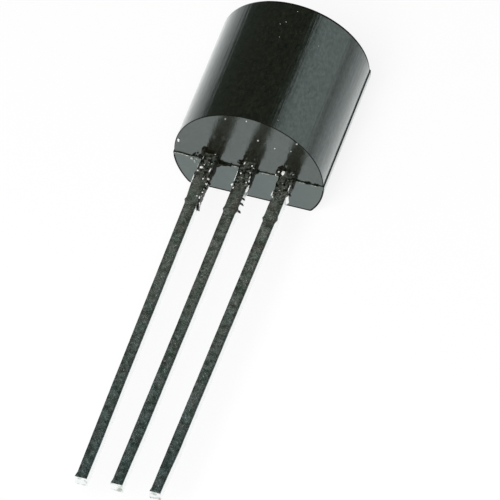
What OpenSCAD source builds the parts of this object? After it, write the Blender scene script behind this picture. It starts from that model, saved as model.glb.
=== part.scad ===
// TO-92 transistor: a moulded D-shaped body on a stamped three-lead frame.
// X runs across the leads, Y along the body from the lead tips to the closed end,
// Z up from the flat. The origin is the middle of the flat face, which the part lies on.

/* [Moulded body] */
// Diameter of the round side
body_diameter = 4.82; // [4.45:0.01:5.2]
// Length of the body along the leads, without the mould step
body_length = 4.78; // [4.4:0.01:5.33]
// Distance from the axis of the round side to the flat
flat_offset = 1.43; // [1.25:0.01:1.65]
// Radius of the two long corners beside the flat
flat_corner_radius = 0.12; // [0.05:0.01:0.3]
// Height of the mould's parting plane above the flat
parting_height = 1.4; // [1.2:0.01:1.6]
// How far the flat half stands proud of the round half at the parting plane
mould_step = 0.03; // [0.01:0.005:0.06]
// Draft of the face that the leads come out of, in degrees
exit_draft = 1.1; // [0.5:0.1:3]
// Draft of the closed end, in degrees
end_draft = 0.3; // [0.2:0.1:3]

/* [Leads outside the body] */
// Distance between neighbouring leads
lead_pitch = 1.27; // [1.1:0.01:1.4]
// Sideways offset of the whole row of leads in the body
lead_row_offset = 0.05; // [-0.1:0.01:0.1]
// Width of a lead below the dambar stubs
lead_width = 0.37; // [0.3:0.01:0.4]
// Thickness of the stamped strip
lead_thickness = 0.37; // [0.3:0.01:0.45]
// Depth that the strip is let into the flat half
lead_sink = 0.03; // [0.01:0.01:0.1]
// Length of the collector lead outside the body
collector_length = 12.7; // [11.5:0.05:14.5]
// Length of the base lead outside the body
base_length = 12.63; // [11.5:0.05:14.5]
// Length of the emitter lead outside the body
emitter_length = 12.52; // [11.5:0.05:14.5]
// Inward lean of the collector lead's tip
collector_lean = 0.17; // [0:0.01:0.3]
// Inward lean of the emitter lead's tip
emitter_lean = 0.09; // [0:0.01:0.3]

/* [Dambar stubs] */
// Width of a lead's neck between the body and the stubs
neck_width = 0.41; // [0.37:0.01:0.48]
// Distance from the body to the middle of the stubs
stub_distance = 1.91; // [1.5:0.01:2.5]
// Width over the two stubs
stub_width = 0.45; // [0.42:0.01:0.6]
// Length of a stub along its lead at the lead's side
stub_length = 0.24; // [0.12:0.01:0.5]

/* [Leadframe inside the body] */
// Depth of the wide anchoring shoulders under the exit face
shoulder_depth = 0.35; // [0.2:0.01:0.6]
// Width of the collector strip and of the emitter post
post_width = 0.62; // [0.5:0.01:0.75]
// Length of the head on the base post
base_head_length = 0.55; // [0.4:0.01:0.7]
// Width of the head on the base post
base_head_width = 0.9; // [0.75:0.01:1]
// Depth of the base head's far end under the exit face
base_post_depth = 1.75; // [1.3:0.01:1.9]
// Depth of the emitter post's far end under the exit face
emitter_post_depth = 3.1; // [2.6:0.01:3.4]
// Gap that is punched between the die flag and the two posts
frame_gap = 0.36; // [0.25:0.01:0.5]
// Length of the die flag
flag_length = 1.45; // [1.2:0.01:1.7]
// Radius of the anchoring notch in the collector strip and the emitter post
notch_radius = 0.14; // [0.08:0.01:0.18]

/* [Die and bond wires] */
// Side of the square silicon die
die_side = 0.46; // [0.3:0.01:0.6]
// Thickness of the silicon die
die_thickness = 0.2; // [0.1:0.01:0.28]
// Thickness of the film that bonds the die to its flag
film_thickness = 0.025; // [0.015:0.005:0.04]
// Border of the film around the die
film_border = 0.04; // [0.02:0.005:0.08]
// Diameter of the gold wire
wire_diameter = 0.03; // [0.02:0.005:0.05]
// Diameter of the ball and of the stitch at the ends of a wire
wire_foot_diameter = 0.08; // [0.06:0.005:0.12]
// Height of a wire's loop above the die
loop_height = 0.3; // [0.2:0.01:0.5]

/* [Hidden] */

// Facets of the true circles
$fn = 96;
// Extra length that a cutting or clipping solid runs past what it cuts
margin = 1;

// Faces of the body along Y, at the parting plane of the round half
exit_y = -body_length / 2;
end_y = body_length / 2;
// Top of the round side
crown_height = flat_offset + body_diameter / 2;

// Middle of each lead where it leaves the body
collector_x = lead_row_offset - lead_pitch;
base_x = lead_row_offset;
emitter_x = lead_row_offset + lead_pitch;

// Lower and upper face of the stamped strip
strip_bottom = parting_height - lead_sink;
strip_top = strip_bottom + lead_thickness;

// Die flag, between the outer edge of the collector strip and the emitter post
flag_left = collector_x - post_width / 2;
flag_right = emitter_x - post_width / 2 - frame_gap;
flag_bottom = exit_y + base_post_depth + frame_gap;
flag_top = flag_bottom + flag_length;

// Middle of the die, in line with the base lead, and its lower and upper face
die_x = base_x;
die_y = (flag_bottom + flag_top) / 2;
die_bottom = strip_top + film_thickness;
die_top = die_bottom + die_thickness;

// Bond places: each pad lies a share of the die's side from its middle
base_pad = [die_x - die_side / 4, die_y - die_side / 4, die_top];
emitter_pad = [die_x + die_side / 4, die_y + die_side / 4, die_top];
base_bond = [base_x, exit_y + base_post_depth - base_head_length / 2, strip_top];
emitter_bond = [emitter_x, exit_y + emitter_post_depth - base_head_length / 2, strip_top];

// Rings along a wire, corners of each ring, and the share of a wire that each foot takes
wire_rings = 20;
wire_corners = 8;
foot_share = 0.02;
// Heights of the two points that a wire's loop is drawn towards, as shares of the loop's height
ball_pull = 1.6;
stitch_pull = 0.9;

// ---- Shapes shared by the sub-parts ----

// Outline of the body seen along the leads, with both long corners rounded
module body_outline(radius) {
    corner_z = flat_corner_radius;
    corner_x = sqrt(pow(radius - flat_corner_radius, 2) - pow(flat_offset - corner_z, 2));
    // direction from the axis of the round side through the middle of the corner
    reach = radius / (radius - flat_corner_radius);
    touch = [corner_x * reach, flat_offset - (flat_offset - corner_z) * reach];
    difference() {
        intersection() {
            translate([0, flat_offset]) circle(r = radius);
            translate([-radius - margin, 0]) square([2 * (radius + margin), crown_height + margin]);
        }
        for (side = [-1, 1]) scale([side, 1]) difference() {
            polygon([[corner_x, corner_z], [corner_x, -margin], [touch[0] + margin, -margin], touch]);
            translate([corner_x, corner_z]) circle(r = flat_corner_radius);
        }
    }
}

// Solid with the body's outline, clipped by an outline seen from the side
module body_half(radius, side_outline) {
    intersection() {
        rotate([90, 0, 0]) linear_extrude(height = body_length + 2 * margin, center = true) body_outline(radius);
        rotate([90, 0, 90]) linear_extrude(height = 2 * (radius + margin), center = true) polygon(side_outline);
    }
}

// Stamped piece of the strip with the given outline
module stamped(outline) {
    translate([0, 0, strip_bottom]) linear_extrude(height = lead_thickness) polygon(outline);
}

// Left side of a lead outside the body, from its tip to the exit face, and the right side mirrored.
// The shaft leans by lean at its tip, and sides is -1 for the left side and 1 for the right.
function lead_side(x, length, lean, side) = [
    [x + lean + side * lead_width / 2, exit_y - length],
    [x + side * lead_width / 2, exit_y - stub_distance - stub_length / 2],
    [x + side * stub_width / 2, exit_y - stub_distance],
    [x + side * neck_width / 2, exit_y - stub_distance + stub_length / 2],
    [x + side * neck_width / 2, exit_y + shoulder_depth]
];

// A list of points backwards
function reversed(points) = [for (i = [len(points) - 1 : -1 : 0]) points[i]];

// Anchoring notch through the strip
module notch(x, y) {
    translate([x, y, strip_bottom - margin]) cylinder(r = notch_radius, h = lead_thickness + 2 * margin);
}

// The four points of the curve that a wire follows: it leaves one foot and meets the other upright
function loop_frame(from, to) =
    [from, from + [0, 0, ball_pull * loop_height], to + [0, 0, stitch_pull * loop_height], to];

// Point of the curve with the four points c, at share t
function loop_point(c, t) =
    pow(1 - t, 3) * c[0] + 3 * t * pow(1 - t, 2) * c[1] + 3 * t * t * (1 - t) * c[2] + pow(t, 3) * c[3];

// Direction of the curve at share t
function loop_direction(c, t) =
    let (d = pow(1 - t, 2) * (c[1] - c[0]) + 2 * t * (1 - t) * (c[2] - c[1]) + t * t * (c[3] - c[2]))
    d / norm(d);

// Radius of a wire: wide over the two rings of each foot, thin between
function wire_radius(ring) =
    (ring <= 1 || ring >= wire_rings - 2) ? wire_foot_diameter / 2 : wire_diameter / 2;

// Share of the curve at a ring: two rings close together at each foot, and the others evenly between
function ring_share(ring) =
    ring <= 1 ? ring * foot_share :
    ring >= wire_rings - 2 ? 1 - (wire_rings - 1 - ring) * foot_share :
    2 * foot_share + (1 - 4 * foot_share) * (ring - 2) / (wire_rings - 5);

// Gold wire from one foot to the other
module bond_wire(from, to) {
    c = loop_frame(from, to);
    // direction across the loop, level with the strip
    across = [from[1] - to[1], to[0] - from[0], 0] / norm([from[1] - to[1], to[0] - from[0]]);
    points = [for (ring = [0 : wire_rings - 1])
        let (t = ring_share(ring), up = cross(loop_direction(c, t), across))
        for (corner = [0 : wire_corners - 1])
        let (angle = (corner + 0.5) * 360 / wire_corners)
        loop_point(c, t) + wire_radius(ring) * (cos(angle) * across + sin(angle) * up)];
    walls = [for (ring = [0 : wire_rings - 2], corner = [0 : wire_corners - 1])
        let (next = (corner + 1) % wire_corners, a = ring * wire_corners, b = a + wire_corners)
        [a + corner, a + next, b + next, b + corner]];
    first = [for (corner = [wire_corners - 1 : -1 : 0]) corner];
    last = [for (corner = [0 : wire_corners - 1]) (wire_rings - 1) * wire_corners + corner];
    polyhedron(points = points, faces = concat([first], walls, [last]), convexity = 4);
}

// ---- Sub-parts ----

// Epoxy body, moulded in two halves around the frame, the die and the wires
module moulded_body() {
    radius = body_diameter / 2;
    color([0.07, 0.075, 0.07]) difference() {
        union() {
            body_half(radius, [
                [exit_y, parting_height],
                [end_y, parting_height],
                [end_y - tan(end_draft) * (crown_height + margin - parting_height), crown_height + margin],
                [exit_y + tan(exit_draft) * (crown_height + margin - parting_height), crown_height + margin]
            ]);
            body_half(radius + mould_step, [
                [exit_y - mould_step + tan(exit_draft) * parting_height, 0],
                [end_y + mould_step - tan(end_draft) * parting_height, 0],
                [end_y + mould_step, parting_height],
                [exit_y - mould_step, parting_height]
            ]);
        }
        collector_lead();
        base_lead();
        emitter_lead();
        die_bond_film();
        transistor_die();
        base_bond_wire();
        emitter_bond_wire();
    }
}

// Left lead: it carries the die flag, which reaches over the end of the base lead
module collector_lead() {
    x = collector_x;
    color([0.62, 0.63, 0.61]) difference() {
        stamped(concat(
            lead_side(x, collector_length, collector_lean, -1),
            [
                [flag_left, exit_y + shoulder_depth],
                [flag_left, flag_top],
                [flag_right, flag_top],
                [flag_right, flag_bottom],
                [x + post_width / 2, flag_bottom],
                [x + post_width / 2, exit_y + shoulder_depth]
            ],
            reversed(lead_side(x, collector_length, collector_lean, 1))
        ));
        notch(flag_left, (exit_y + shoulder_depth + flag_bottom) / 2);
    }
}

// Middle lead: a short post with a wide head just under the flag
module base_lead() {
    x = base_x;
    head_start = exit_y + base_post_depth - base_head_length;
    color([0.62, 0.63, 0.61]) stamped(concat(
        lead_side(x, base_length, 0, -1),
        [
            [x - neck_width / 2, head_start],
            [x - base_head_width / 2, head_start],
            [x - base_head_width / 2, exit_y + base_post_depth],
            [x + base_head_width / 2, exit_y + base_post_depth],
            [x + base_head_width / 2, head_start],
            [x + neck_width / 2, head_start]
        ],
        reversed(lead_side(x, base_length, 0, 1))
    ));
}

// Right lead: a long post beside the flag
module emitter_lead() {
    x = emitter_x;
    color([0.62, 0.63, 0.61]) difference() {
        stamped(concat(
            lead_side(x, emitter_length, -emitter_lean, -1),
            [
                [x - post_width / 2, exit_y + shoulder_depth],
                [x - post_width / 2, exit_y + emitter_post_depth],
                [x + post_width / 2, exit_y + emitter_post_depth],
                [x + post_width / 2, exit_y + shoulder_depth]
            ],
            reversed(lead_side(x, emitter_length, -emitter_lean, 1))
        ));
        notch(x + post_width / 2, exit_y + (shoulder_depth + emitter_post_depth) / 2);
    }
}

// Square block centred on the die's place
module on_flag(side, bottom, height) {
    translate([die_x - side / 2, die_y - side / 2, bottom]) cube([side, side, height]);
}

// Film that bonds the die to its flag
module die_bond_film() {
    color([0.72, 0.72, 0.74]) on_flag(die_side + 2 * film_border, strip_top, film_thickness);
}

// Silicon die
module transistor_die() {
    color([0.3, 0.32, 0.36]) on_flag(die_side, die_bottom, die_thickness);
}

// Gold wire from the die to the base post
module base_bond_wire() {
    color([0.95, 0.78, 0.35]) bond_wire(base_pad, base_bond);
}

// Gold wire from the die to the emitter post
module emitter_bond_wire() {
    color([0.95, 0.78, 0.35]) bond_wire(emitter_pad, emitter_bond);
}

moulded_body();
collector_lead();
base_lead();
emitter_lead();
die_bond_film();
transistor_die();
base_bond_wire();
emitter_bond_wire();
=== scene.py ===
from math import asin, atan2, copysign, cos, hypot, pi, radians, sin, sqrt, tan
from collections import namedtuple

import bmesh
import bpy
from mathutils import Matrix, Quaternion, Vector, noise


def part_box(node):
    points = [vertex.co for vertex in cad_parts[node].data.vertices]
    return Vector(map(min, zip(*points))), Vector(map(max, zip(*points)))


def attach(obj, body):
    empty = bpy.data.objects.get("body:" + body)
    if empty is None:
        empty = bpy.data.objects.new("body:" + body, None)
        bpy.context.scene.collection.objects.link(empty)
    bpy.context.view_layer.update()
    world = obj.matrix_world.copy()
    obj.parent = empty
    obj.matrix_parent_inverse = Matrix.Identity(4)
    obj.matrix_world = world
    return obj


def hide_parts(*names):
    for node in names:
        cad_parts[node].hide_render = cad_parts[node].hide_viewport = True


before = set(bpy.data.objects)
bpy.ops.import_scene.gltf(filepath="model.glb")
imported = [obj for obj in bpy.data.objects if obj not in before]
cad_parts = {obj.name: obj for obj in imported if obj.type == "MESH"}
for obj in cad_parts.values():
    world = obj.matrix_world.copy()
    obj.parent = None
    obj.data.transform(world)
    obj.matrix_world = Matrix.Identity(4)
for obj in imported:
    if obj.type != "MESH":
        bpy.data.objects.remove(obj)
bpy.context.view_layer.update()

MM = 0.001


def box_mm(node):
    """Lowest and highest corner of a CAD node, in millimetres."""
    low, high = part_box(node)
    return low / MM, high / MM


# ---- sizes from the frame

BODY_LOW, BODY_HIGH = box_mm("moulded_body")
LEADS = ("collector_lead", "base_lead", "emitter_lead")
LEAD_BOX = {name: box_mm(name) for name in LEADS}


def by_lead(*values):
    """One value for each lead, from left to right in the photograph."""
    return dict(zip(LEADS, values))


# sizes that the boxes don't give, as in the CAD model
MOULD_STEP = 0.03  # how far the flat half stands proud at the parting plane
FLAT_CORNER = 0.12  # radius of the long corners beside the flat
EXIT_DRAFT = radians(1.1)
END_DRAFT = radians(0.3)
LEAD_SINK = 0.03  # depth of the strip in the flat half
LEAD_PITCH = 1.27
LEAD_WIDTH = 0.37
NECK_WIDTH = 0.41
STUB_WIDTH = 0.45
STUB_DISTANCE = 1.91
STUB_LENGTH = 0.24
SHOULDER_DEPTH = 0.35
POST_WIDTH = 0.62
NOTCH_RADIUS = 0.14  # anchoring notches in the outer posts
BASE_HEAD_LENGTH = 0.55
BASE_HEAD_WIDTH = 0.9
FRAME_GAP = 0.36  # between the base lead's head and the die flag

LEANS = by_lead(0.17, 0.0, -0.09)  # how far each tip lies to the right of its root

# small departures of the visible leads from the plain strips of the CAD model
ROOT_SHIFT = by_lead(0.045, 0.0, 0.0)
TIP_TRIM = by_lead(0.03, 0.045, -0.02)
EXTRA_WIDTH = 0.03  # near the body
EXTRA_REACH = 9  # distance from the body over which the shift and the extra width die away

STRIP_BOTTOM = LEAD_BOX["base_lead"][0].z
STRIP_TOP = LEAD_BOX["base_lead"][1].z
STRIP_MIDDLE = (STRIP_BOTTOM + STRIP_TOP) / 2
PARTING = STRIP_BOTTOM + LEAD_SINK
FLAT_RADIUS = BODY_HIGH.x
ROUND_RADIUS = FLAT_RADIUS - MOULD_STEP
AXIS_HEIGHT = BODY_HIGH.z - ROUND_RADIUS
EXIT_Y = BODY_LOW.y + MOULD_STEP
END_Y = BODY_HIGH.y - MOULD_STEP
ROW_X = (LEAD_BOX["base_lead"][0].x + LEAD_BOX["base_lead"][1].x) / 2
LEAD_X = by_lead(ROW_X - LEAD_PITCH, ROW_X, ROW_X + LEAD_PITCH)


# ---- mesh helpers

def new_object(name, points, faces, sharp_angle=30):
    """A mesh object from points in millimetres and their faces, smooth but for its sharp edges."""
    mesh = bpy.data.meshes.new(name)
    mesh.from_pydata([Vector(p) * MM for p in points], [], faces)
    mesh.validate()
    mesh.shade_smooth()
    mesh.set_sharp_from_angle(angle=radians(sharp_angle))
    piece = bpy.data.objects.new(name, mesh)
    bpy.context.scene.collection.objects.link(piece)
    return piece


def finish_piece(piece, materials, replaced=(), second_faces=()):
    """Gives a piece its materials, the second one on some faces, and its place in the part."""
    for material in materials:
        piece.data.materials.append(material)
    for index in second_faces:
        piece.data.polygons[index].material_index = 1
    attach(piece, "root")
    if replaced:
        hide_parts(*replaced)


def lerp(a, b, t):
    """The value a share t of the way from a to b."""
    return a + (b - a) * t


def shares_of(count):
    """Even shares from 0 up to but not including 1."""
    return [i / count for i in range(count)]


def points_between(start, end, shares):
    """Points at some shares of the way from start to end."""
    return [tuple(lerp(a, b, share) for a, b in zip(start, end)) for share in shares]


def fractal(x, y, z, scale, octaves=3):
    """Smooth noise from -1 to 1 at a place in millimetres, with features about scale wide."""
    return noise.fractal(Vector((x, y, z)) / scale, 0.6, 2.0, octaves)


def ring_faces(first, second, size):
    """Quads between two rings of size points that start at the indices first and second."""
    following = [(i + 1) % size for i in range(size)]
    return [(first + i, first + j, second + j, second + i) for i, j in enumerate(following)]


def tube_faces(first, size, count):
    """Quads between count rings of size points that follow each other from the index first."""
    faces = []
    for start in range(first, first + (count - 1) * size, size):
        faces += ring_faces(start, start + size, size)
    return faces


# ---- moulded body

EXIT_RIM = 0.020  # rounding of the rim round the exit face
EXIT_LINE = 0.030  # width of the thin burr beside that rim on the flat half, painted dark as shade
EXIT_BURR = 0.014  # how far the burr stands out
BURR_TOP = PARTING - 0.15  # the burr ends here, short of the parting plane
CLOSED_RIM = 0.055  # rounding of the rim at the closed end
CLOSED_LINE = 0.035  # width of the dark line of painted shade beside that rim
CLOSED_RIM_SHADE_FROM = -0.9  # above the parting plane the closed end's rim carries painted shade from here to the right
LIP_RADIUS = 0.016  # rounding of the flat half's edge at the parting plane
LIP_REACH = 1.5 * LIP_RADIUS  # distance from the parting plane up to which a point counts as the lip's
FILLET = 0.006  # fillet between the round half and the step at that edge
SUPPORT = 0.02  # distance of the rows that keep a rounding's shading to itself
FACE_RELIEF = 0.0012  # waviness of the exit face
FACE_EDGE = 0.15  # distance from its edge over which that dies away
WANDER = 0.02  # how far the parting line strays up or down on the exit face
WANDER_REACH = 0.15  # distance above and below the line that strays with it

CROWN_EDGE = radians(89.4)  # a narrow flat on the crown joins the outline's halves
FINE_TOP = radians(21)  # below this angle the rows lie closer together
# rows of the outline: above that angle, on to the parting plane, on to the long corner, and round it
ROUND_ROWS, FINE_ROWS, FLAT_ROWS, CORNER_ROWS = 36, 27, 30, 8
CAP_COLUMNS = 144  # across an end face
RIM_STEPS = 5
LENGTH_STEPS = 26  # along the body between its rims

# wear of the flat half's lip
LIP_RAGGED = 0.004  # how far its edge strays either way
CHIP_LEVEL = 0.35  # a chip is missing where the noise is above this
CHIP_DEPTH = 0.03  # depth of a chip for each unit of noise above that
LIP_END = 0.2  # length over which the lip dies away at the closed end
LIP_END_DEPTH = 0.022  # how much of it is missing there
SIDE_NOISE = 3.0  # where in the noise the right side's wear is read, and the left side's at minus this

# A point of the body's right-hand outline, its outward direction, where the exit face and the closed end
# lie there, and whether the surface from it to the next point is matt and dark as painted shade
OutlinePoint = namedtuple("OutlinePoint", "x z outward exit_y end_y matt", defaults=(False,))


def angle_at(z, radius):
    """Angle above the horizontal at which a circle about the body's axis reaches a height."""
    return asin((z - AXIS_HEIGHT) / radius)


def outline_point(x, z, outward, step=MOULD_STEP, matt=False):
    """A point of the outline, at which both ends stand proud of the round half's by step."""
    away = abs(z - PARTING)
    exit_y = EXIT_Y - step + tan(EXIT_DRAFT) * away
    end_y = END_Y + step - tan(END_DRAFT) * away
    return OutlinePoint(x, z, outward, exit_y, end_y, matt)


def arc_point(x, z, radius, angle, *more):
    """A point of the outline on an arc round x and z."""
    outward = (cos(angle), sin(angle))
    return outline_point(x + radius * outward[0], z + radius * outward[1], outward, *more)


def lip_point(angle):
    """A point of the outline on the rounding of the flat half's lip."""
    across = LIP_RADIUS * (1 - cos(angle))
    z = PARTING - LIP_RADIUS * (1 - sin(angle))
    return outline_point(FLAT_RADIUS - across, z, (1.0, 0.0), MOULD_STEP - across, True)


def arc_points(arc, start, end, shares):
    """Points of the outline on an arc, at shares of the way from one angle to another."""
    x, z, radius, *more = arc
    return [arc_point(x, z, radius, lerp(start, end, share), *more) for share in shares]


def body_outline():
    """The right-hand outline from the crown to the flat, closer together where the leads come out."""
    round_arc = (0.0, AXIS_HEIGHT, ROUND_RADIUS, 0.0)
    flat_arc = (0.0, AXIS_HEIGHT, FLAT_RADIUS)
    fillet_top = angle_at(PARTING + FILLET, ROUND_RADIUS)
    points = arc_points(round_arc, CROWN_EDGE, FINE_TOP, shares_of(ROUND_ROWS))
    points += arc_points(round_arc, FINE_TOP, fillet_top, shares_of(FINE_ROWS) + [1.0])
    points.append(arc_point(FILLET, *round_arc[1:3], angle_at(PARTING, ROUND_RADIUS), 0.0, True))
    points += [lip_point(radians(degrees)) for degrees in (90, 45, 0)]
    painted_shade_start = angle_at(PARTING - 2 * LIP_RADIUS, FLAT_RADIUS)
    points.append(arc_point(*flat_arc, painted_shade_start, MOULD_STEP, True))
    corner_x = sqrt((FLAT_RADIUS - FLAT_CORNER) ** 2 - (AXIS_HEIGHT - FLAT_CORNER) ** 2)
    touch = atan2(FLAT_CORNER - AXIS_HEIGHT, corner_x)
    start = angle_at(PARTING - 3 * LIP_RADIUS, FLAT_RADIUS)
    points += arc_points(flat_arc, start, touch, shares_of(FLAT_ROWS))
    corner_arc = (corner_x, FLAT_CORNER, FLAT_CORNER)
    return points + arc_points(corner_arc, touch, -pi / 2, shares_of(CORNER_ROWS) + [1.0])


def outline_ring(outline, inset):
    """Closed ring of (x, z, outline point), seen along the leads, drawn in from the outline by inset."""
    right = [(p.x - inset * p.outward[0], p.z - inset * p.outward[1], p) for p in outline]
    left = [(-x, z, p) for x, z, p in right]
    across = [1 - 2 * m / CAP_COLUMNS for m in range(1, CAP_COLUMNS)]
    bottom = [(right[-1][0] * share, right[-1][1], outline[-1]) for share in across]
    crown = [(-right[0][0] * share, right[0][1], outline[0]) for share in across]
    return right + bottom + left[::-1] + crown


def parting_wear(x, y):
    """How far the flat half's lip stands out: its flash is ragged, and chips and its far end are missing."""
    ragged = fractal(x, y, 5.0, 0.12)
    chip = max(0.0, ragged - CHIP_LEVEL)
    far_end = max(0.0, 1 - (BODY_HIGH.y - y) / LIP_END)
    return LIP_RAGGED * ragged - CHIP_DEPTH * chip - LIP_END_DEPTH * far_end


def ring_places():
    """Each ring of the body as its inset, its share of the length, how far it is set back from its end
    face, and its burr."""
    turns = [pi / 2 * step / RIM_STEPS for step in range(RIM_STEPS, 0, -1)]
    curve = [(1 - cos(turn), 1 - sin(turn)) for turn in turns]
    places = [(EXIT_RIM + EXIT_LINE, 0.0, 0.0, 0.0)]
    places += [(EXIT_RIM * inwards, 0.0, EXIT_RIM * back, EXIT_BURR) for inwards, back in curve]
    places += [(0.0, 0.0, EXIT_RIM, EXIT_BURR), (0.0, 0.0, EXIT_RIM + SUPPORT, 0.0)]
    shares = shares_of(LENGTH_STEPS)[1:] + [1.0]
    places += [(0.0, share, CLOSED_RIM + CLOSED_LINE, 0.0) for share in shares]
    places.append((0.0, 1.0, CLOSED_RIM, 0.0))
    places += [(CLOSED_RIM * inwards, 1.0, CLOSED_RIM * back, 0.0) for inwards, back in curve[::-1]]
    return places


def body_ring(outline, inset, share, back_off, burr):
    """Points of a ring at a share of the way from the exit face to the closed end, its lower part standing
    out by the burr."""
    ring = []
    for x, z, place in outline_ring(outline, inset):
        y = lerp(place.exit_y + back_off, place.end_y - back_off, share)
        if z < BURR_TOP:
            y -= burr
        on_flat_half = abs(x) > ROUND_RADIUS + 0.4 * MOULD_STEP - inset
        if on_flat_half and abs(z - PARTING) < LIP_REACH:
            side = copysign(1.0, x)
            x += side * parting_wear(SIDE_NOISE * side, y)
        ring.append((x, y, z))
    return ring


def painted_shade_places(order, last_order, ring, at_parting):
    """Which faces between a ring and the next one get the dark matt finish that paints shade along the rims
    and the parting plane.
    """
    if order == 0:
        return [i for i, (_, _, z) in enumerate(ring) if z < BURR_TOP]
    if order <= RIM_STEPS:
        return range(len(ring))
    if order >= last_order - RIM_STEPS:
        return [i for i, (x, _, z) in enumerate(ring) if x > CLOSED_RIM_SHADE_FROM or z < PARTING]
    return at_parting


def cap_point(place, rim, share, at_exit):
    """A point of an end face at a share of the way from the middle to its right edge."""
    edge_x = place.x - rim * place.outward[0]
    x = edge_x * share
    z = place.z - rim * place.outward[1]
    if not at_exit:
        return x, place.end_y, z
    inside = min(1.0, (edge_x - abs(x)) / FACE_EDGE)
    on_lip = abs(z - PARTING) < LIP_REACH and place.exit_y < EXIT_Y - 0.001
    lip = parting_wear(x, 0.0) if on_lip else 0.0
    y = place.exit_y - inside * (FACE_RELIEF * fractal(x, 0.3, z, 0.5)) - lip
    near = max(0.0, 1 - abs(z - PARTING) / WANDER_REACH)
    return x, y, z + inside * (WANDER * near * fractal(x, 2.7, 0.0, 0.45))


def cap_grid(rows, ring_start, inner_start):
    """Indices of an end face's points, row by row: its outer points are the ring's, and the inner ones
    follow from inner_start."""
    inner = CAP_COLUMNS - 1
    bottom = ring_start + rows
    left = bottom + inner
    crown = left + rows
    grid = [[ring_start, *range(crown + inner - 1, crown - 1, -1), crown - 1]]
    for row in range(1, rows - 1):
        start = inner_start + (row - 1) * inner
        grid.append([ring_start + row, *range(start, start + inner), crown - 1 - row])
    return grid + [list(range(bottom - 1, left + 1))]


def add_cap(points, faces, outline, rim, ring_start):
    """Closes an end of the body: the exit face inside the first ring, or the closed end inside the last."""
    at_exit = ring_start == 0
    grid = cap_grid(len(outline), ring_start, len(points))
    for place in outline[1:-1]:
        for column in range(1, CAP_COLUMNS):
            points.append(cap_point(place, rim, 1 - 2 * column / CAP_COLUMNS, at_exit))
    for upper, lower in zip(grid, grid[1:]):
        quads = zip(upper, upper[1:], lower[1:], lower)
        faces += [quad if at_exit else quad[::-1] for quad in quads]


def body_mesh():
    """Points and faces of the moulded body, and which of its faces carry painted shade."""
    outline = body_outline()
    rings = [body_ring(outline, *place) for place in ring_places()]
    size = len(rings[0])
    points = [point for ring in rings for point in ring]
    at_parting = [i for i, (_, _, place) in enumerate(outline_ring(outline, 0.0)) if place.matt]
    faces = []
    painted_shade_faces = []
    for order, ring in enumerate(rings[:-1]):
        painted_shade_faces += [len(faces) + i for i in painted_shade_places(order, len(rings) - 2, ring, at_parting)]
        faces += ring_faces(order * size, (order + 1) * size, size)
    add_cap(points, faces, outline, EXIT_RIM + EXIT_LINE, 0)
    add_cap(points, faces, outline, CLOSED_RIM, (len(rings) - 1) * size)
    return points, faces, painted_shade_faces


# ---- leads

EDGE_RADIUS = 0.022  # rounding of the strip's long edges
CORNER_STEPS = 4
FACE_CELLS = 14  # across each side of the strip
NOTCH_STEPS = 12
STEP_SLOPE = 0.02  # length over which the strip's width changes inside the body
ROUGH_LENGTH = 1.0  # reach of the rough zone next to the body
ROUGH_DEPTH = 0.028  # relief of that zone
STRIP_RELIEF = 0.0030  # relief of the rest
SMOOTH_DEPTH = 0.05  # deeper than this in the body the strip is smooth
DIRT_LENGTH = 1.25  # reach of the dirt on a lead's rolled faces
TIP_BURR = 0.03  # depth of the torn face at a sheared tip
END_RINGS = (0.8, 0.55, 0.3)  # sizes of the rings that close a lead's ends

# rows along the outer part of a lead: those of the rough zone start inside the body
ROOT_START = -0.08
ROOT_SPACING, ROOT_ROWS = 0.02, 60
NEXT_SPACING, NEXT_ROWS = 0.035, 36
FAR_ROWS = 170

# Local bulges and hollows of a lead's sides: side (-1 left, 1 right), distance from the body, how far it
# stands out, and its half length along the lead.
BULGES = by_lead(
    (
        (-1, 0.86, 0.045, 0.14), (-1, 1.2, 0.03, 0.6), (1, 0.45, 0.02, 0.2), (1, 1.05, 0.015, 0.3),
        (-1, 1.92, 0.01, 0.07), (1, 1.9, 0.02, 0.09), (-1, 12.66, 0.03, 0.15),
        (1, 12.6, -0.015, 1.2),
    ),
    (
        (-1, 0.95, 0.04, 0.14), (-1, 0.3, 0.02, 0.25), (1, 0.6, 0.02, 0.2),
        (-1, 1.93, 0.012, 0.07), (1, 1.86, 0.018, 0.1), (-1, 12.0, 0.012, 6.0),
        (-1, 12.58, 0.025, 0.15), (1, 12.6, -0.03, 2.0),
    ),
    (
        (-1, 0.9, 0.05, 0.12), (1, 0.88, 0.05, 0.11), (1, 0.35, 0.015, 0.2), (-1, 1.93, 0.012, 0.07),
        (1, 1.85, 0.015, 0.1), (-1, 12.54, 0.02, 0.15), (1, 12.5, -0.038, 1.6),
    ),
)


def bulge(name, side, distance):
    """How far a lead's side stands out of its plain outline at a distance from the body."""
    total = 0.0
    for its_side, middle, height, half_length in BULGES[name]:
        if its_side == side:
            reach = abs(distance - middle) / half_length
            total += height * max(0.0, 1 - reach ** 2) ** 1.5
    return total


def lead_length(name):
    """Length of a lead outside the body."""
    return EXIT_Y - LEAD_BOX[name][0].y - TIP_TRIM[name]


def ramp(value, start, end):
    """How far a value has come from start to end, from 0 to 1."""
    return min(1.0, max(0.0, (value - start) / (end - start)))


def lead_half_width(distance):
    """Half the plain width of a lead at a distance from the body, with its dambar stubs."""
    wider = ramp(distance, STUB_DISTANCE - STUB_LENGTH / 2, STUB_DISTANCE)
    narrower = ramp(distance, STUB_DISTANCE, STUB_DISTANCE + STUB_LENGTH / 2)
    return lerp(lerp(NECK_WIDTH, STUB_WIDTH, wider), LEAD_WIDTH, narrower) / 2


def lead_middle(name, distance):
    """Where the middle of a lead lies across the part at a distance from the body."""
    shaft = STUB_DISTANCE + STUB_LENGTH / 2
    lean = LEANS[name] * max(0.0, distance - shaft) / (lead_length(name) - shaft)
    return LEAD_X[name] + lean + ROOT_SHIFT[name] * max(0.0, 1 - max(0.0, distance) / EXTRA_REACH)


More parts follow.
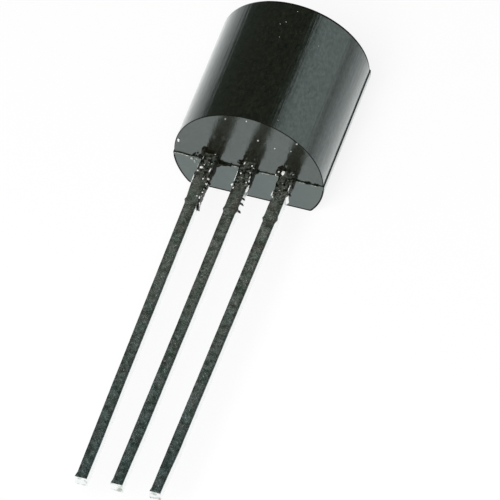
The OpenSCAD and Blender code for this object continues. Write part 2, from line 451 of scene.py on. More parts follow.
def lead_side(name, side, distance):
    """Where a lead's left (-1) or right (1) side lies at a distance from the body."""
    extra = EXTRA_WIDTH / 2 * max(0.0, 1 - max(0.0, distance) / EXTRA_REACH)
    half = lead_half_width(distance) + extra + bulge(name, side, distance)
    return lead_middle(name, distance) + side * half


def notch(left, right, low, high, side):
    """Stations of the anchoring notch in a post's left (-1) or right (1) side, midway from low to high."""
    stations = []
    for step in range(NOTCH_STEPS + 1):
        angle = pi * step / NOTCH_STEPS
        depth = NOTCH_RADIUS * sin(angle)
        y = (low + high) / 2 + NOTCH_RADIUS * cos(angle)
        stations.append((y, left + depth, right) if side < 0 else (y, left, right - depth))
    return stations


def inner_stations(name):
    """Stations (y, left, right) of a lead inside the body, from its far end to its neck."""
    x = LEAD_X[name]
    far = LEAD_BOX[name][1].y
    near = EXIT_Y + SHOULDER_DEPTH
    neck = (x - NECK_WIDTH / 2, x + NECK_WIDTH / 2)
    if name == "base_lead":
        head = (x - BASE_HEAD_WIDTH / 2, x + BASE_HEAD_WIDTH / 2)
        foot = far - BASE_HEAD_LENGTH
        return [(far, *head), (foot, *head), (foot - STEP_SLOPE, *neck)]
    post = (x - POST_WIDTH / 2, x + POST_WIDTH / 2)
    shoulder = [(near, *post), (near - STEP_SLOPE, *neck)]
    if name == "emitter_lead":
        return [(far, *post)] + notch(*post, near, far, 1) + shoulder
    flag = (post[0], LEAD_BOX[name][1].x)
    foot = LEAD_BOX["base_lead"][1].y + FRAME_GAP
    plate = [(far, *flag), (foot, *flag), (foot - STEP_SLOPE, *post)]
    return plate + notch(*post, near, foot, -1) + shoulder


def outer_stations(name):
    """Stations (y, left, right) of a lead from just inside the body's face to its tip."""
    distances = [ROOT_START + ROOT_SPACING * i for i in range(ROOT_ROWS)]
    distances += [distances[-1] + NEXT_SPACING * (i + 1) for i in range(NEXT_ROWS)]
    length = lead_length(name)
    distances += [lerp(distances[-1], length, (i + 1) / FAR_ROWS) for i in range(FAR_ROWS)]
    return [(EXIT_Y - d, lead_side(name, -1, d), lead_side(name, 1, d)) for d in distances]


def strip_section(left, right):
    """Closed ring of (x, z) round the strip, with its corners rounded and points spread over its sides."""
    left, right = left + EDGE_RADIUS, right - EDGE_RADIUS
    low, high = STRIP_BOTTOM + EDGE_RADIUS, STRIP_TOP - EDGE_RADIUS
    corners = []
    for index, (x, z) in enumerate(((right, high), (left, high), (left, low), (right, low))):
        turns = [pi / 2 * (index + step / CORNER_STEPS) for step in range(CORNER_STEPS + 1)]
        corners.append([(x + EDGE_RADIUS * cos(t), z + EDGE_RADIUS * sin(t)) for t in turns])
    ring = []
    for corner, following in zip(corners, corners[1:] + corners[:1]):
        ring += corner + points_between(corner[-1], following[0], shares_of(FACE_CELLS)[1:])
    return ring


def lead_wear(x, y, z):
    """How far a lead's surface stands out at a place: pitted next to the body, and nearly even beyond."""
    distance = EXIT_Y - y
    if distance < -SMOOTH_DEPTH:
        return 0.0
    rough = max(0.0, 1 - distance / ROUGH_LENGTH)
    even = STRIP_RELIEF * fractal(x, y / 2.5, z, 0.2)
    return even + ROUGH_DEPTH * rough ** 0.5 * fractal(x, y, z, 0.13, 4)


def lead_mesh(name):
    """Points and faces of a whole lead, from its far end in the body to its sheared tip, how far across the
    strip each point lies from -1 to 1, and the first of the faces at the tip."""
    stations = inner_stations(name) + outer_stations(name)
    points = []
    across = []
    for y, left, right in stations:
        middle = (left + right) / 2
        for x, z in strip_section(left, right):
            wear = lead_wear(x, y, z)
            grow = 1 + wear / hypot(x - middle, z - STRIP_MIDDLE)
            points.append((middle + (x - middle) * grow, y, STRIP_MIDDLE + (z - STRIP_MIDDLE) * grow))
            across.append(2 * (x - middle) / (right - left))
    size = len(points) // len(stations)
    faces = tube_faces(0, size, len(stations))
    close_end(points, faces, 0, size, stations[0], 0.0)
    first_tip_face = len(faces)
    close_end(points, faces, (len(stations) - 1) * size, size, stations[-1], TIP_BURR)
    across += [0.0] * (len(points) - len(across))
    return points, faces, across, first_tip_face


def close_end(points, faces, ring_start, size, station, burr):
    """Closes an open ring with smaller rings and a middle point. At a tip the face is torn by the shear."""
    end_y, left, right = station
    middle_x = (left + right) / 2
    outer = points[ring_start:ring_start + size]
    previous = ring_start
    at_tip = burr > 0
    for share in END_RINGS:
        start = len(points)
        for x, _, z in outer:
            px = middle_x + (x - middle_x) * share
            pz = STRIP_MIDDLE + (z - STRIP_MIDDLE) * share
            torn = burr * (0.4 + 0.6 * fractal(px, end_y, pz, 0.12)) if at_tip else 0.0
            points.append((px, end_y + torn, pz))
        quads = ring_faces(previous, start, size)
        faces += quads if at_tip else [face[::-1] for face in quads]
        previous = start
    points.append((middle_x, end_y + 0.5 * burr, STRIP_MIDDLE))
    last = len(points) - 1
    for i in range(size):
        face = (previous + i, previous + (i + 1) % size, last)
        faces.append(face if at_tip else face[::-1])


# ---- residue and grains

# Grains of dust on the exit face, as (x, z, radius)
FACE_GRAINS = (
    (-2.24, 1.97, 0.034), (-2.24, 2.03, 0.034), (-0.68, 3.57, 0.018), (0.0, 3.7, 0.02),
    (0.35, 2.9, 0.026), (0.88, 2.7, 0.016), (1.4, 2.75, 0.016), (1.6, 3.18, 0.02),
    (0.88, 1.43, 0.022), (1.44, 1.6, 0.02),
)

# Grains of dust on the round side, as (degrees above the horizontal, y, radius)
SIDE_GRAINS = (
    (90.0, 1.59, 0.012), (85.0, 2.09, 0.01), (93.5, 1.47, 0.01), (90.5, 0.97, 0.009),
    (68.0, -2.01, 0.011), (61.0, 1.2, 0.008),
)

# Flash left on the exit face round the leads and along the parting line, as the corners (x, z) of each patch
# The near-black patches round the collector lead's root are also painted shade and dark reflections there.
FACE_FLASH_AND_SHADE = (
    ((-1.52, 1.34), (-1.44, 1.34), (-1.4, 1.72), (-1.04, 1.74), (-1.08, 1.84), (-1.28, 1.88), (-1.35, 2.0),
     (-1.43, 2.0), (-1.51, 1.8)),
    ((-1.66, 1.4), (-1.5, 1.37), (-1.48, 1.62), (-1.6, 1.52)),
    ((-1.83, 1.44), (-1.77, 1.43), (-1.75, 1.47), (-1.8, 1.48)),
    ((-1.08, 1.12), (-1.0, 1.16), (-0.9, 1.24), (-0.74, 1.33), (-0.6, 1.37), (-0.62, 1.4), (-0.8, 1.43),
     (-0.94, 1.48), (-0.98, 1.62), (-1.08, 1.66)),
    ((-0.61, 1.385), (-0.56, 1.375), (-0.53, 1.405), (-0.58, 1.42)),
    ((-0.2, 1.5), (-0.2, 1.7), (-0.3, 1.71), (-0.35, 1.62), (-0.3, 1.54)),
    ((0.2, 1.22), (0.3, 1.28), (0.36, 1.38), (0.32, 1.42), (0.27, 1.52), (0.2, 1.66)),
    ((0.88, 1.5), (1.06, 1.44), (1.08, 1.7), (0.96, 1.7), (0.89, 1.62)),
    ((0.94, 1.72), (1.1, 1.66), (1.22, 1.74), (1.2, 1.92), (1.1, 1.95), (0.98, 1.86)),
    ((1.55, 1.395), (1.66, 1.395), (1.64, 1.404), (1.58, 1.404)),
    ((1.8, 1.392), (2.01, 1.386), (1.99, 1.41), (1.88, 1.414)),
    ((2.1, 1.387), (2.27, 1.385), (2.25, 1.402), (2.15, 1.404)),
    ((-1.77, 1.5), (-1.71, 1.49), (-1.7, 1.53), (-1.75, 1.54)),
    ((-1.67, 1.57), (-1.62, 1.55), (-1.6, 1.6), (-1.65, 1.61)),
    ((-1.72, 1.42), (-1.66, 1.41), (-1.66, 1.45), (-1.7, 1.46)),
)

# Paler lumps on the exit face, as (x, z, half sizes): dried resin beside the collector lead, and along the
# parting line thin strips that are painted highlights
FACE_RESIN_AND_HIGHLIGHTS = (
    (-1.82, 1.29, (0.06, 0.03, 0.03)), (-1.68, 1.31, (0.05, 0.03, 0.03)),
    (-1.74, 1.16, (0.03, 0.03, 0.07)), (-1.62, 1.05, (0.03, 0.03, 0.06)),
    (-1.67, 0.94, (0.03, 0.03, 0.06)), (-0.29, 1.66, (0.035, 0.03, 0.035)),
    (-1.97, 1.37, (0.1, 0.02, 0.018)), (-2.2, 1.388, (0.17, 0.02, 0.01)),
    (-0.39, 1.39, (0.14, 0.02, 0.009)), (0.56, 1.388, (0.12, 0.02, 0.008)),
    (0.86, 1.392, (0.14, 0.02, 0.01)), (1.62, 1.36, (0.06, 0.02, 0.01)),
    (1.82, 1.35, (0.1, 0.015, 0.008)), (2.14, 1.35, (0.12, 0.015, 0.008)),
)

# Crumbs and skins of white flux on each lead, which also serve as painted glints and highlights, as (x from
# its middle, distance from the body, half width, half length)
LEAD_CRUMBS_AND_GLINTS = by_lead(
    (
        (-0.13, 0.62, 0.042, 0.05), (-0.08, 0.49, 0.014, 0.018), (0.13, 0.4, 0.012, 0.024),
        (0.16, 0.66, 0.02, 0.075), (0.12, 0.02, 0.02, 0.024), (0.21, 0.98, 0.038, 0.04),
        (0.22, 1.18, 0.036, 0.032), (0.06, 1.02, 0.02, 0.024), (0.21, 1.4, 0.014, 0.03),
        (0.21, 1.52, 0.022, 0.03), (0.19, 1.73, 0.024, 0.045), (0.09, 1.7, 0.018, 0.02),
        (-0.2, 0.76, 0.022, 0.03), (-0.25, 1.1, 0.013, 0.13), (-0.2, 0.24, 0.006, 0.06),
    ),
    (
        (-0.14, 0.08, 0.024, 0.028), (0.12, 0.12, 0.024, 0.028), (-0.13, 0.48, 0.024, 0.028),
        (0.15, 0.4, 0.02, 0.024), (-0.25, 0.97, 0.032, 0.04), (-0.18, 1.09, 0.02, 0.026),
        (0.14, 0.78, 0.018, 0.024), (0.19, 0.55, 0.016, 0.05), (0.21, 0.7, 0.014, 0.05),
        (-0.24, 0.62, 0.01, 0.19), (0.255, 1.02, 0.03, 0.13),
    ),
    (
        (-0.16, 0.11, 0.058, 0.07), (-0.3, 0.1, 0.022, 0.026), (0.16, 0.08, 0.022, 0.028),
        (-0.24, 0.96, 0.02, 0.09), (-0.18, 1.08, 0.022, 0.026), (0.2, 0.62, 0.014, 0.13),
    ),
)

# Thorns of resin on the leads' right edges, as (lead, distance from the body, length)
THORNS = (
    ("collector_lead", 1.08, 0.12), ("collector_lead", 1.3, 0.08), ("base_lead", 1.36, 0.1),
    ("base_lead", 1.56, 0.12), ("base_lead", 1.86, 0.1), ("emitter_lead", 0.8, 0.12),
)

# How far the resin that bled out of the mould covers each side of a lead, left and right
BLEED_REACH = by_lead((0.75, 2.05), (0.8, 0.9), (0.7, 0.45))
BLEED_SPACING = 0.11
BLEED_THICK, BLEED_THIN = 0.036, 0.016  # half thickness of the skin next to the body and far from it
BLEED_THIN_AT = 0.95  # distance from the body at which it is down to the second
BLEED_SIZE = (0.09, 0.18)  # half size of one lump of it along the lead and up
BLEED_SUNK = 0.005  # how far its middle lies inside the lead
BLEED_RISE = 0.02  # how far its middle lies above the strip's

LUMP_RELIEF = 0.45  # roughness of a lump as a share of its size
PATCH_CELLS = 8  # points on each side of a patch
PATCH_HEIGHT = 0.035  # the most that a patch stands out
PATCH_RINGS = ((1.0, -0.5), (0.98, 0.4), (0.85, 0.9), (0.6, 1.0), (0.3, 1.1))  # shares of size and height

THORN_DROP = 0.06  # below the lead's upper face
THORN_SLANT = 0.35  # how far a thorn slants towards the tip for each unit that it stands out

# where each kind starts to count its seeds
CRUMB_AND_GLINT_SEED, THORN_SEED, FLASH_AND_SHADE_SEED, RESIN_AND_HIGHLIGHT_SEED, BLEED_SEED = 20, 40, 60, 60, 80


def face_y(z):
    """Where the exit face lies at a height, the flat half's part of it below the parting line."""
    step = MOULD_STEP if z < PARTING else 0.0
    return EXIT_Y - step + tan(EXIT_DRAFT) * abs(z - PARTING)


def add_lump(points, faces, centre, size, seed, detail):
    """Adds one rough closed lump with half sizes size, made from an icosphere."""
    ball = bmesh.new()
    bmesh.ops.create_icosphere(ball, subdivisions=detail, radius=1.0)
    first = len(points)
    for vert in ball.verts:
        rough = 1 + LUMP_RELIEF * noise.fractal(vert.co * 1.4 + Vector((7.3 * seed, 0, 0)), 0.5, 2.0, 4)
        points.append([centre[axis] + vert.co[axis] * size[axis] * rough for axis in range(3)])
    ball.verts.index_update()
    faces += [[first + vert.index for vert in face.verts] for face in ball.faces]
    ball.free()


def add_patch(points, faces, corners, seed):
    """Adds a thin ragged patch that lies on the exit face within its corners."""
    middle_x = sum(x for x, _ in corners) / len(corners)
    middle_z = sum(z for _, z in corners) / len(corners)
    edge = []
    for corner, following in zip(corners, corners[1:] + corners[:1]):
        edge += points_between(corner, following, shares_of(PATCH_CELLS))
    thickness = min(PATCH_HEIGHT, max(z for _, z in corners) - min(z for _, z in corners))
    size = len(edge)
    first = len(points)
    for share, height in PATCH_RINGS:
        for x, z in edge:
            ragged = share * (1 + 0.16 * fractal(x, 0.7 * seed, z, 0.07, 4))
            px = middle_x + (x - middle_x) * ragged
            pz = middle_z + (z - middle_z) * ragged
            rise = thickness * height * (1 + 0.8 * fractal(px, 3.1 * seed, pz, 0.08, 4))
            points.append((px, face_y(pz) - rise, pz))
    points.append((middle_x, face_y(middle_z) - thickness, middle_z))
    points.append((middle_x, face_y(middle_z) + 0.5 * thickness, middle_z))
    front, back = len(points) - 2, len(points) - 1
    faces += tube_faces(first, size, len(PATCH_RINGS))
    inner = first + (len(PATCH_RINGS) - 1) * size
    faces += [(inner + i, inner + (i + 1) % size, front) for i in range(size)]
    faces += [(first + (i + 1) % size, first + i, back) for i in range(size)]


def lump_mesh(lumps, detail=3):
    """Points and faces of rough closed lumps, each given by its middle, its half sizes and its seed."""
    points, faces = [], []
    for centre, size, seed in lumps:
        add_lump(points, faces, centre, size, seed, detail)
    return points, faces


def grains():
    """Lumps of dust on the exit face and on the round side."""
    places = [((x, face_y(z) - 0.4 * radius, z), radius) for x, z, radius in FACE_GRAINS]
    for degrees, y, radius in SIDE_GRAINS:
        angle = radians(degrees)
        x = ROUND_RADIUS * cos(angle)
        places.append(((x, y, AXIS_HEIGHT + ROUND_RADIUS * sin(angle)), radius))
    return [(centre, (radius,) * 3, seed) for seed, (centre, radius) in enumerate(places)]


def crumbs_and_glints():
    """Lumps of flux on the leads' upper faces, which also serve as painted glints and highlights."""
    lumps = []
    for name, rows in LEAD_CRUMBS_AND_GLINTS.items():
        for offset, distance, half_width, half_length in rows:
            x = lead_middle(name, distance) + offset
            centre = (x, EXIT_Y - distance, STRIP_TOP - 0.1 * half_width)
            size = (half_width, half_length, 0.7 * half_width)
            lumps.append((centre, size, CRUMB_AND_GLINT_SEED + len(lumps)))
    return lumps


def resin_and_highlights():
    """Lumps of pale resin on the exit face, and thin pale strips painted as highlights along the parting
    line.
    """
    return [((x, face_y(z), z), size, seed) for seed, (x, z, size) in enumerate(FACE_RESIN_AND_HIGHLIGHTS, RESIN_AND_HIGHLIGHT_SEED)]


def bleed():
    """Lumps that make the skin of resin on the leads' sides next to the body."""
    lumps = []
    for order, (name, reaches) in enumerate(BLEED_REACH.items()):
        for side, reach in zip((-1, 1), reaches):
            count = round(reach / BLEED_SPACING)
            for step in range(count):
                distance = reach * step / count
                x = lead_side(name, side, distance) - BLEED_SUNK * side
                thick = lerp(BLEED_THICK, BLEED_THIN, min(1.0, distance / BLEED_THIN_AT) ** 2)
                centre = (x, EXIT_Y - distance, STRIP_MIDDLE + BLEED_RISE)
                lumps.append((centre, (thick, *BLEED_SIZE), BLEED_SEED + 40 * order + 20 * side + step))
    return lumps


def flash_and_shade_mesh():
    """Points and faces of the flash on the exit face, in part painted shade round the collector lead's root.
    """
    points, faces = [], []
    for seed, corners in enumerate(FACE_FLASH_AND_SHADE, FLASH_AND_SHADE_SEED):
        add_patch(points, faces, corners, seed)
    return points, faces


def thorn_mesh():
    """Points and faces of the thorns of resin on the leads' right edges, which slant towards the tips."""
    points, faces = [], []
    for seed, (name, distance, length) in enumerate(THORNS, THORN_SEED):
        first = len(points)
        x = lead_side(name, 1, distance)
        centre = (x + 0.3 * length, EXIT_Y - distance, STRIP_TOP - THORN_DROP)
        add_lump(points, faces, centre, (0.5 * length, 0.024, 0.05), seed, 3)
        for point in points[first:]:
            point[1] -= THORN_SLANT * (point[0] - x)
    return points, faces


# ---- node helpers

def new_material(name):
    """A material, its node tree and its Principled shader."""
    material = bpy.data.materials.new(name)
    material.use_nodes = True
    tree = material.node_tree
    return material, tree, tree.nodes["Principled BSDF"]


def connect(socket, value):
    """Links a socket to another one, or sets its value."""
    if isinstance(value, bpy.types.NodeSocket):
        socket.id_data.links.new(value, socket)
    else:
        socket.default_value = value


def fill(node, inputs):
    """Sets or links a node's inputs, by their names or numbers."""
    for key, value in inputs.items():
        connect(node.inputs[key], value)


def add_node(kind, inputs=(), tree=None, **settings):
    """A node with its settings, its inputs given as values or as sockets to link from. It stands in the
    tree of those sockets where none is given."""
    inputs = dict(inputs)
    sockets = [value for value in inputs.values() if isinstance(value, bpy.types.NodeSocket)]
    node = (tree or sockets[0].id_data).nodes.new("ShaderNode" + kind)
    for key, value in settings.items():
        setattr(node, key, value)
    fill(node, inputs)
    return node


def given(tree, kind, name):
    """A value that a node without inputs gives."""
    return add_node(kind, tree=tree).outputs[name]


def mm_place(tree, stretch=(1.0, 1.0, 1.0), turn=0.0):
    """Place in millimetres, drawn out by stretch along each axis, turned first about Z."""
    turning = {"Vector": given(tree, "TexCoord", "Object"), "Angle": turn}
    turned = add_node("VectorRotate", turning, rotation_type="Z_AXIS").outputs[0]
    scale = [1 / (MM * share) for share in stretch]
    return add_node("VectorMath", {0: turned, 1: scale}, operation="MULTIPLY").outputs[0]


def noise_at(place, size, detail=3.0, roughness=0.55):
    """Noise from 0 to 1 with features about size millimetres wide."""
    inputs = {"Vector": place, "Scale": 1 / size, "Detail": detail, "Roughness": roughness}
    return add_node("TexNoise", inputs).outputs["Fac"]


def spread(value, low, high, to_low=0.0, to_high=1.0):
    """The value mapped from low..high to to_low..to_high, and held there outside."""
    inputs = {"Value": value, "From Min": low, "From Max": high, "To Min": to_low, "To Max": to_high}
    return add_node("MapRange", inputs).outputs["Result"]


def maths(operation, first, second=0.0):
    """The result of one operation on two values."""
    return add_node("Math", {0: first, 1: second}, operation=operation).outputs[0]


def axis_of(vector, axis):
    """One part of a vector, X, Y or Z."""
    return add_node("SeparateXYZ", {0: vector}).outputs[axis]


def blend(share, first, second, how="MIX"):
    """The colour that lies a share of the way from the first to the second."""
    first, second = [(*c, 1.0) if isinstance(c, tuple) else c for c in (first, second)]
    inputs = {"Factor": share, 6: first, 7: second}
    return add_node("Mix", inputs, data_type="RGBA", blend_type=how).outputs[2]


def tinted(colour, tint):
    """The colour multiplied by a tint."""
    return blend(1.0, colour, tint, "MULTIPLY")


def facing(tree, axis):
    """How far the surface faces along one axis of the part, from -1 to 1."""
    return axis_of(given(tree, "TexCoord", "Normal"), axis)


def bump_from(height, depth, strength=1.0, below=None):
    """A normal bent by a height from 0 to 1 that stands for depth millimetres."""
    inputs = {"Height": height, "Distance": depth * MM, "Strength": strength}
    if below is not None:
        inputs["Normal"] = below
    return add_node("Bump", inputs).outputs["Normal"]


# ---- materials

CLOSED_END_RELIEF = 0.35  # the closed end comes smoother from the mould than the rest
DARKENING_START, DARKENING_END = 2, 12  # distances from the body over which the rolled faces darken
WHITE = (1.0, 1.0, 1.0)


def epoxy_skin(tree, place, end_face):
    """The relief of the moulding compound: waves, lines drawn by the mould, and fine grain."""
    lines = noise_at(mm_place(tree, (0.07, 2.5, 0.07)), 1.0, 2.0)
    lines = maths("MULTIPLY", lines, spread(end_face, 0.0, 1.0, 1.0, 0.2))
    relief = spread(facing(tree, "Y"), 0.6, 0.9, 1.0, CLOSED_END_RELIEF)
    waves = bump_from(noise_at(place, 0.6), 0.007, relief)
    drawn = bump_from(lines, 0.0050, relief, waves)
    return bump_from(noise_at(place, 0.06, 3.0, 0.6), 0.0028, relief, drawn)


def epoxy_tint(place, mottle, end_face):
    """The tint of the compound's gloss, paler on the lower half of the body and greyer on its end faces."""
    lower = spread(axis_of(place, "Z"), PARTING + 0.001, PARTING - 0.001)
    upper_tint = blend(mottle, (0.20, 0.36, 0.34), (0.60, 0.90, 0.86))
    lower_tint = blend(mottle, (0.52, 0.86, 0.83), (0.64, 1.0, 0.97))
    tint = blend(lower, upper_tint, lower_tint)
    return blend(end_face, tint, tinted(tint, (0.79, 0.80, 0.80)))


def epoxy_material():
    """Black moulding compound: fairly smooth from the mould, with faint grain, haze and drawn lines. Its
    gloss is stronger on the lower half of the body, and its skin is rich in resin."""
    material, tree, shader = new_material("black_epoxy")
    place = mm_place(tree)
    end_face = spread(maths("ABSOLUTE", facing(tree, "Y")), 0.6, 0.9)
    mottle = spread(noise_at(mm_place(tree, (1.0, 1.8, 1.0)), 0.09, 4.0, 0.75), 0.3, 0.7)
    base = blend(mottle, (0.0, 0.0, 0.0), (0.0120, 0.0100, 0.0045))
    base = blend(end_face, base, (0.0150, 0.0150, 0.0105))
    filler = spread(noise_at(place, 0.045, 2.0), 0.66, 0.74)
    haze = spread(noise_at(place, 0.35, 4.0), 0.3, 0.7, 0.09, 0.14)
    skin = epoxy_skin(tree, place, end_face)
    fill(shader, {
        "Base Color": blend(filler, base, (0.030, 0.029, 0.024)),
        "Roughness": maths("ADD", haze, maths("MULTIPLY", end_face, 0.04)),
        "IOR": 1.90,
        "Specular Tint": epoxy_tint(place, mottle, end_face),
        "Coat Weight": 1.0,
        "Coat Roughness": 0.10,
        "Coat IOR": 1.5,
        "Sheen Weight": 0.15,
        "Sheen Roughness": 0.3,
        "Sheen Tint": (0.93, 1.0, 0.99, 1.0),
        "Normal": skin,
        "Coat Normal": skin,
    })
    return material


def rolled_tin(tree, place, along, mottle, pale_specks_and_glints):
    """The colour of the strip's rolled faces, with shade painted along their edges, pale specks that stand
    in for glints, and darker towards the tips.
    """
    hue = spread(noise_at(place, 0.35, 3.0), 0.38, 0.62)
    dark = blend(hue, (0.31, 0.39, 0.32), (0.44, 0.41, 0.36))
    pale = blend(hue, (0.92, 1.0, 0.94), (1.0, 0.96, 0.92))
    colour = blend(pale_specks_and_glints, blend(mottle, dark, pale), WHITE)
    far = spread(along, EXIT_Y - DARKENING_START, EXIT_Y - DARKENING_END)
    colour = blend(far, colour, tinted(colour, (0.60, 0.72, 0.79)))
    # shade painted along the rolled faces' edges, darkest on the right
    uneven = spread(noise_at(place, 0.2, 3.0), 0.3, 0.7, -0.15, 0.15)
    across = add_node("Attribute", tree=tree, attribute_name="across").outputs["Fac"]
    across = maths("ADD", across, uneven)
    right = spread(across, 0.50, 0.85)
    left = spread(across, -0.80, -1.0, 0.0, 0.7)
    return blend(maths("MAXIMUM", right, left), colour, tinted(colour, (0.50, 0.50, 0.52)))


def soiling(place, along, rolled):
    """How soiled a lead is: all round it next to the body, and further out on its rolled faces."""
    rough = spread(along, EXIT_Y - ROUGH_LENGTH, EXIT_Y - 0.6 * ROUGH_LENGTH)
    dirty = spread(along, EXIT_Y - DIRT_LENGTH, EXIT_Y - 0.6 * DIRT_LENGTH)
    near = maths("MAXIMUM", rough, maths("MULTIPLY", dirty, rolled))
    ragged = spread(noise_at(place, 0.14, 4.0, 0.7), 0.3, 0.7, -0.5, 0.5)
    return spread(maths("ADD", near, ragged), 0.47, 0.53)


def dirt_and_glint_colour(place):
    """The colour of the dirt next to the body: black and grimy, with painted glints."""
    grime = spread(noise_at(place, 0.09, 5.0, 0.8), 0.44, 0.60)
    dirt = blend(grime, (0.001, 0.001, 0.0003), (0.084, 0.094, 0.075))
    # pale spots painted in as glints
    glints = spread(noise_at(place, 0.075, 2.0), 0.66, 0.72)
    return blend(glints, dirt, (0.55, 0.58, 0.56))


def scratches(tree):
    """Long and short scratches that cross each other, from 0 to 1."""
    long = noise_at(mm_place(tree, (0.03, 0.9, 0.5), radians(-38)), 1.0, 1.0)
    short = noise_at(mm_place(tree, (0.6, 0.02, 0.5), radians(20)), 1.0, 1.0)
    return maths("MAXIMUM", spread(long, 0.60, 0.66), spread(short, 0.64, 0.70))


def tin_material():
    """Tin plating: even on the strip's sheared sides, mottled and scratched on its rolled faces, and rough
    and dirty next to the body."""
    material, tree, shader = new_material("tinned_strip")
    place = mm_place(tree)
    along = axis_of(place, "Y")
    rolled = spread(maths("ABSOLUTE", facing(tree, "Z")), 0.35, 0.8)
    mottle = spread(noise_at(place, 0.20, 5.0, 0.7), 0.39, 0.61)
    # pale specks, partly flux dust and partly painted glints
    pale_specks_and_glints = spread(noise_at(place, 0.09, 2.0), 0.70, 0.76)
    soiled = soiling(place, along, rolled)
    front = blend(soiled, rolled_tin(tree, place, along, mottle, pale_specks_and_glints), dirt_and_glint_colour(place))
    side = blend(mottle, (0.96, 0.97, 0.96), WHITE)
    oxide = spread(noise_at(place, 0.11, 5.0, 0.75), 0.42, 0.70, 0.004, 0.060)
    dull = maths("ADD", oxide, maths("MULTIPLY", pale_specks_and_glints, 0.16))
    dull = maths("MAXIMUM", maths("MULTIPLY", dull, rolled), soiled)
    crossed = scratches(tree)
    fine = spread(noise_at(place, 0.10, 4.0), 0.3, 0.7, 0.20, 0.34)
    peel = bump_from(maths("MULTIPLY", mottle, rolled), 0.008)
    drawn = bump_from(noise_at(mm_place(tree, (0.035, 1.6, 0.035)), 1.0, 2.0), 0.0015, below=peel)
    cut = maths("MULTIPLY", crossed, rolled)
    fill(shader, {
        "Base Color": blend(maths("MAXIMUM", rolled, soiled), side, front),
        "Metallic": maths("SUBTRACT", 1.0, dull),
        "Roughness": maths("ADD", fine, maths("MULTIPLY", crossed, 0.10)),
        "Normal": bump_from(cut, 0.005, below=drawn),
    })
    return material


def sheared_material():
    """Sheared tip: tin smeared over the strip's grey core."""
    material, tree, shader = new_material("sheared_tip")
    place = mm_place(tree)
    smear = spread(noise_at(place, 0.22, 3.0), 0.38, 0.50)
    core = blend(noise_at(place, 0.04, 3.0), (0.42, 0.44, 0.40), (0.74, 0.76, 0.70))
    fill(shader, {
        "Base Color": blend(smear, core, (0.97, 0.98, 0.97)),
        "Metallic": 1.0,
        "Roughness": spread(smear, 0.0, 1.0, 0.45, 0.25),
        "Normal": bump_from(noise_at(place, 0.05, 3.0), 0.006),
    })
    return material


# Finishes in which colour, roughness and relief all follow one noise: its grain, the dark and the pale
# colour, the ends of the roughness, and the depth of the relief
TONED = {
    # painted shade: the moulding compound, dark and scarcely reflecting, along the rims and the parting
    # plane
    "epoxy_painted_rim_shade": (0.05, (0.0030, 0.0030, 0.0018), (0.009, 0.0085, 0.006), (0.4, 0.6), 0.002),
    # thin dark flash of the moulding compound, also used as painted shade on the exit face
    "resin_flash_and_shade": (0.06, (0.0015, 0.0015, 0.0005), (0.010, 0.010, 0.005), (0.22, 0.42), 0.008),
    # pale dried resin, also used for painted highlights along the parting line
    "dried_resin_and_highlight": (0.06, (0.08, 0.085, 0.07), (0.42, 0.44, 0.41), (0.3, 0.5), 0.01),
    # dust and dried flux, also used for painted glints and highlights on the leads
    "pale_dust_and_glints": (0.02, (0.62, 0.64, 0.62), (0.92, 0.93, 0.92), (0.45, 0.7), 0.006),
    "gold_wire": (0.02, (0.83, 0.58, 0.20), (0.96, 0.74, 0.34), (0.18, 0.3), 0.002),
    "silicon": (0.08, (0.10, 0.11, 0.13), (0.22, 0.23, 0.26), (0.12, 0.25), 0.008),
    "bond_film": (0.03, (0.45, 0.45, 0.46), (0.66, 0.66, 0.68), (0.4, 0.6), 0.003),
}

# The finish of each CAD node that stays, all of them inside the body, and how metallic it is
INNER_FINISHES = {
    "base_bond_wire": ("gold_wire", 1.0),
    "emitter_bond_wire": ("gold_wire", 1.0),
    "transistor_die": ("silicon", 0.6),
    "die_bond_film": ("bond_film", 0.5),
}


def toned_material(name, detail=3.0, contrast=None, constants=None):
    """The material of a finish in the table. The noise is taken with its detail and between the levels of
    its contrast, and the constants are set on the shader's own sockets."""
    grain, dark, pale, roughness, relief = TONED[name]
    material, tree, shader = new_material(name)
    tone = noise_at(mm_place(tree), grain, detail)
    if contrast:
        tone = spread(tone, *contrast)
    fill(shader, {
        "Base Color": blend(tone, dark, pale),
        "Roughness": spread(tone, 0.3, 0.7, *roughness),
        "Normal": bump_from(tone, relief),
    })
    fill(shader, constants or {})
    return material


def dress_inner_nodes():
    """Gives the CAD nodes that stay their materials."""
    made = {}
    for node, (name, metallic) in INNER_FINISHES.items():
        if name not in made:
            made[name] = toned_material(name, constants={"Metallic": metallic})
        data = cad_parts[node].data
        data.materials.clear()
        data.materials.append(made[name])


# ---- studio

WORLD_LEVEL = 0.25
KEY_LEVEL = 1.15
KEY_DISTANCE = 150
KEY_SIZE = 110
KEY_DIRECTION = Vector((-0.02, -0.60, 0.80)).normalized()
FLOOR_SIDE = 900
FLOOR_DROP = 0.02  # keeps the floor just clear of the flat
FLOOR_PAINT = 0.90
FLOOR_POOL = 9  # distance to either side over which the painted pool of light on the floor fades in reflections
FLOOR_FAR = 0.42  # how bright the floor is there far from the part
CAMERA_SHARE = 0.85  # share of the floor that is plain white for the camera, the rest being lit and shaded
MIRROR_SHARE = 0.88  # the same share in reflections
MIRROR_TINT = (0.98, 1.0, 1.0)

# What the glossy parts mirror above the floor, by the angle about the body's axis from the right-hand
# horizon, in degrees: a bright card that ends at about 62, and a dim studio from there to the left.
MIRRORED_STUDIO = (
    (0, (0.66, 0.68, 0.67)), (10, (0.86, 0.88, 0.87)), (46, (0.97, 0.99, 0.98)),
    (58, (0.78, 0.8, 0.79)), (66, (0.13, 0.15, 0.14)), (76, (0.072, 0.086, 0.072)),
    (145, (0.072, 0.086, 0.072)), (173, (0.08, 0.1, 0.09)), (179, (0.28, 0.31, 0.31)),
)


